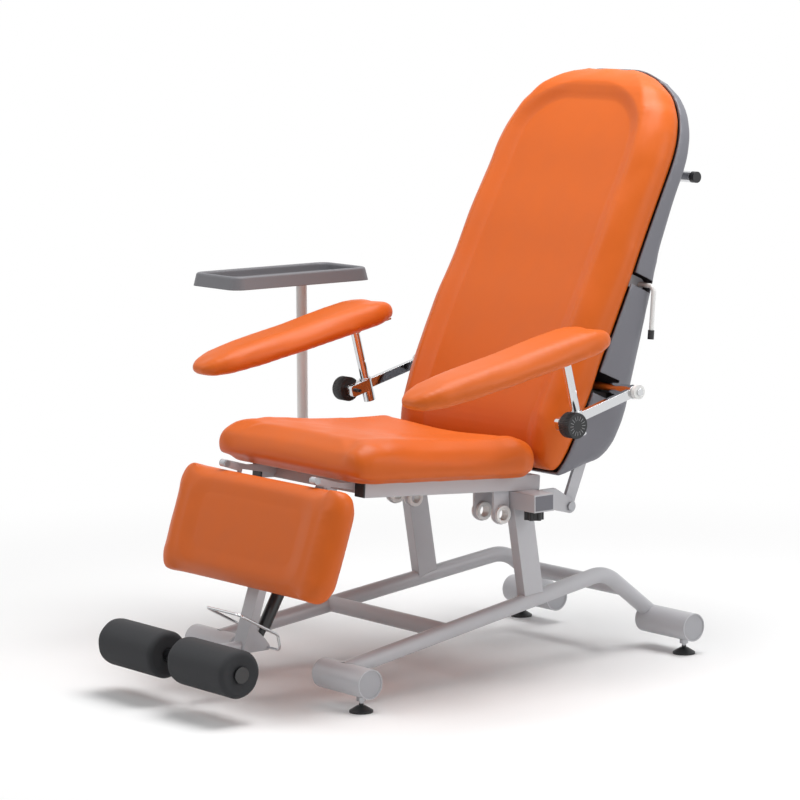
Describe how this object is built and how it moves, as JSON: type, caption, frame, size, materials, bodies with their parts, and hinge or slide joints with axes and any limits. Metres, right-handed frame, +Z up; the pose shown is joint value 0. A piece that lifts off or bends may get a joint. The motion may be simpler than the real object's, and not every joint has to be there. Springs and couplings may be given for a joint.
{
  "type": "phlebotomy chair",
  "caption": "Orange phlebotomy chair with reclining back, lifting legrest, foam foot rollers, two height-adjustable arm pads and a swinging side tray on a grey tubular base.",
  "frame": {"origin": "On the floor under the middle of the base, midway between the four levelling feet.", "axes": "+Z up, the sitter faces -Y, the sitter's left side is +X."},
  "size_m": [1.0633, 1.301, 1.2962],
  "materials": {
    "powder_coat": "satin powder coat",
    "grey_plastic": "fine grained",
    "zinc": "zinc plated",
    "black_plastic": "satin",
    "white_plastic": "smooth",
    "orange_vinyl": "soft grained vinyl",
    "plywood": "black stained",
    "tray_plastic": "fine grained",
    "chrome": "polished",
    "black_paint": "satin",
    "white_paint": "smooth",
    "black_foam": "closed cell foam"
  },
  "bodies": {
    "base": {"front_foot_stubs": "powder_coat", "rear_foot_stubs": "powder_coat", "stub_caps": "grey_plastic", "foot_nuts": "zinc", "side_tubes": "powder_coat", "cross_tubes": "powder_coat", "legs": "powder_coat", "sockets": "powder_coat", "socket_plug": "black_plastic", "seat_rails": "powder_coat", "rail_end_caps": "black_plastic", "seat_cross_bars": "powder_coat", "lift_lugs": "powder_coat", "lug_bushes": "zinc", "hinge_plates": "powder_coat", "hinge_pins": "zinc", "legrest_lugs": "powder_coat", "spring_anchors": "powder_coat", "seat_board": "plywood", "seat_cushion": "orange_vinyl"},
    "back": {"back_bars": "powder_coat", "back_cross_bars": "powder_coat", "back_board": "plywood", "back_cushion": "orange_vinyl", "back_shell": "grey_plastic", "push_handle": "chrome", "handle_caps": "black_plastic", "arm_cross_tube": "chrome", "arm_pivot_caps": "white_plastic"},
    "release_lever": {"release_lever": "white_paint", "release_grip": "black_plastic"},
    "back_spring_rod": {"back_spring_rod": "chrome"},
    "back_spring_cylinder": {"back_spring_cylinder": "black_paint"},
    "legrest": {"legrest_frame": "powder_coat", "legrest_board": "plywood", "legrest_cushion": "orange_vinyl", "roller_axle": "black_paint"},
    "legrest_spring_rod": {"legrest_spring_rod": "chrome"},
    "legrest_spring_cylinder": {"legrest_spring_cylinder": "black_paint"},
    "foam_roller_left": {"foam_roller_left": "black_foam"},
    "foam_roller_right": {"foam_roller_right": "black_foam"},
    "release_loop": {"release_loop": "chrome"},
    "tray_bar": {"tray_bar": "powder_coat"},
    "tray_pole": {"tray_pole": "chrome"},
    "tray": {"tray": "tray_plastic"},
    "arm_left": {"arm_bar_left": "powder_coat"},
    "clamp_knob_left": {"clamp_knob_left": "black_plastic"},
    "arm_post_left": {"arm_post_left": "chrome", "arm_cushion_left": "orange_vinyl"},
    "star_knob_left": {"star_knob_left": "black_plastic"},
    "levelling_foot_front_left": {"levelling_foot_front_left": "zinc"},
    "levelling_foot_rear_left": {"levelling_foot_rear_left": "zinc"},
    "arm_right": {"arm_bar_right": "powder_coat"},
    "clamp_knob_right": {"clamp_knob_right": "black_plastic"},
    "arm_post_right": {"arm_post_right": "chrome", "arm_cushion_right": "orange_vinyl"},
    "star_knob_right": {"star_knob_right": "black_plastic"},
    "levelling_foot_front_right": {"levelling_foot_front_right": "zinc"},
    "levelling_foot_rear_right": {"levelling_foot_rear_right": "zinc"}
  },
  "joints": [
    {"name": "recline", "type": "hinge", "parent": "base", "child": "back", "pos_m": [0, 0.184, 0.3515], "axis": [-1, 0, 0], "range_deg": [0, 60]},
    {"name": "back_spring_swing", "type": "hinge", "parent": "base", "child": "back_spring_rod", "pos_m": [0, 0.10995, 0.38504], "axis": [-1, 0, 0], "range_deg": [0, 50]},
    {"name": "back_spring_stroke", "type": "slide", "parent": "back_spring_rod", "child": "back_spring_cylinder", "axis": [0, 0.6042, 0.7968], "range_m": [0, 0.07]},
    {"name": "legrest_lift", "type": "hinge", "parent": "base", "child": "legrest", "pos_m": [0, -0.48088, 0.47093], "axis": [-1, 0, 0], "range_deg": [0, 60]},
    {"name": "legrest_spring_swing", "type": "hinge", "parent": "base", "child": "legrest_spring_rod", "pos_m": [0, -0.34505, 0.40504], "axis": [-1, 0, 0], "range_deg": [0, 51]},
    {"name": "legrest_spring_stroke", "type": "slide", "parent": "legrest_spring_rod", "child": "legrest_spring_cylinder", "axis": [0, -0.5044, -0.8635], "range_m": [0, 0.141]},
    {"name": "arm_tilt_left", "type": "hinge", "parent": "back", "child": "arm_left", "pos_m": [0.361, 0.226, 0.6165], "axis": [-1, 0, 0], "range_deg": [0, 75]},
    {"name": "arm_height_left", "type": "slide", "parent": "arm_left", "child": "arm_post_left", "axis": [0, -0.2504, 0.9681], "range_m": [-0.05, 0.02]},
    {"name": "clamp_turn_left", "type": "hinge", "parent": "arm_left", "child": "clamp_knob_left", "pos_m": [0.361, 0.02559, 0.56467], "axis": [1, 0, 0], "continuous": true},
    {"name": "star_turn_left", "type": "hinge", "parent": "base", "child": "star_knob_left", "pos_m": [0.231, 0.055, 0.35], "axis": [0, 0, 1], "continuous": true},
    {"name": "roller_turn_left", "type": "hinge", "parent": "legrest", "child": "foam_roller_left", "pos_m": [0.1275, -0.72298, 0.10608], "axis": [1, 0, 0], "continuous": true},
    {"name": "foot_height_front_left", "type": "slide", "parent": "base", "child": "levelling_foot_front_left", "axis": [0, 0, -1], "range_m": [0, 0.02]},
    {"name": "foot_height_rear_left", "type": "slide", "parent": "base", "child": "levelling_foot_rear_left", "axis": [0, 0, -1], "range_m": [0, 0.02]},
    {"name": "arm_tilt_right", "type": "hinge", "parent": "back", "child": "arm_right", "pos_m": [-0.361, 0.226, 0.6165], "axis": [-1, 0, 0], "range_deg": [0, 75]},
    {"name": "arm_height_right", "type": "slide", "parent": "arm_right", "child": "arm_post_right", "axis": [0, -0.2504, 0.9681], "range_m": [-0.05, 0.02]},
    {"name": "clamp_turn_right", "type": "hinge", "parent": "arm_right", "child": "clamp_knob_right", "pos_m": [-0.361, 0.02559, 0.56467], "axis": [-1, 0, 0], "continuous": true},
    {"name": "star_turn_right", "type": "hinge", "parent": "base", "child": "star_knob_right", "pos_m": [-0.231, 0.055, 0.35], "axis": [0, 0, 1], "continuous": true},
    {"name": "roller_turn_right", "type": "hinge", "parent": "legrest", "child": "foam_roller_right", "pos_m": [-0.1275, -0.72298, 0.10608], "axis": [1, 0, 0], "continuous": true},
    {"name": "foot_height_front_right", "type": "slide", "parent": "base", "child": "levelling_foot_front_right", "axis": [0, 0, -1], "range_m": [0, 0.02]},
    {"name": "foot_height_rear_right", "type": "slide", "parent": "base", "child": "levelling_foot_rear_right", "axis": [0, 0, -1], "range_m": [0, 0.02]},
    {"name": "loop_lift", "type": "hinge", "parent": "legrest", "child": "release_loop", "pos_m": [0, -0.50032, 0.10043], "axis": [-1, 0, 0], "range_deg": [0, 8], "stiffness_Nm_per_rad": 0.6},
    {"name": "lever_pull", "type": "hinge", "parent": "back", "child": "release_lever", "pos_m": [0.294, 0.34464, 0.82975], "axis": [1, 0, 0], "range_deg": [0, 12], "stiffness_Nm_per_rad": 1.2},
    {"name": "tray_reach", "type": "slide", "parent": "base", "child": "tray_bar", "axis": [-1, 0, 0], "range_m": [0, 0.05]},
    {"name": "tray_height", "type": "slide", "parent": "tray_bar", "child": "tray_pole", "axis": [0, 0, 1], "range_m": [-0.1, 0.04]},
    {"name": "tray_swing", "type": "hinge", "parent": "tray_pole", "child": "tray", "pos_m": [-0.536, 0.0123, 0.796], "axis": [0, 0, 1], "range_deg": [0, 90]}
  ],
  "couplings": [
    {"joint": "back_spring_swing", "follows": "recline", "ratio": 0.82},
    {"joint": "back_spring_stroke", "follows": "recline", "m_per_rad": 0.066},
    {"joint": "legrest_spring_swing", "follows": "legrest_lift", "ratio": 0.84},
    {"joint": "legrest_spring_stroke", "follows": "legrest_lift", "m_per_rad": 0.134}
  ]
}
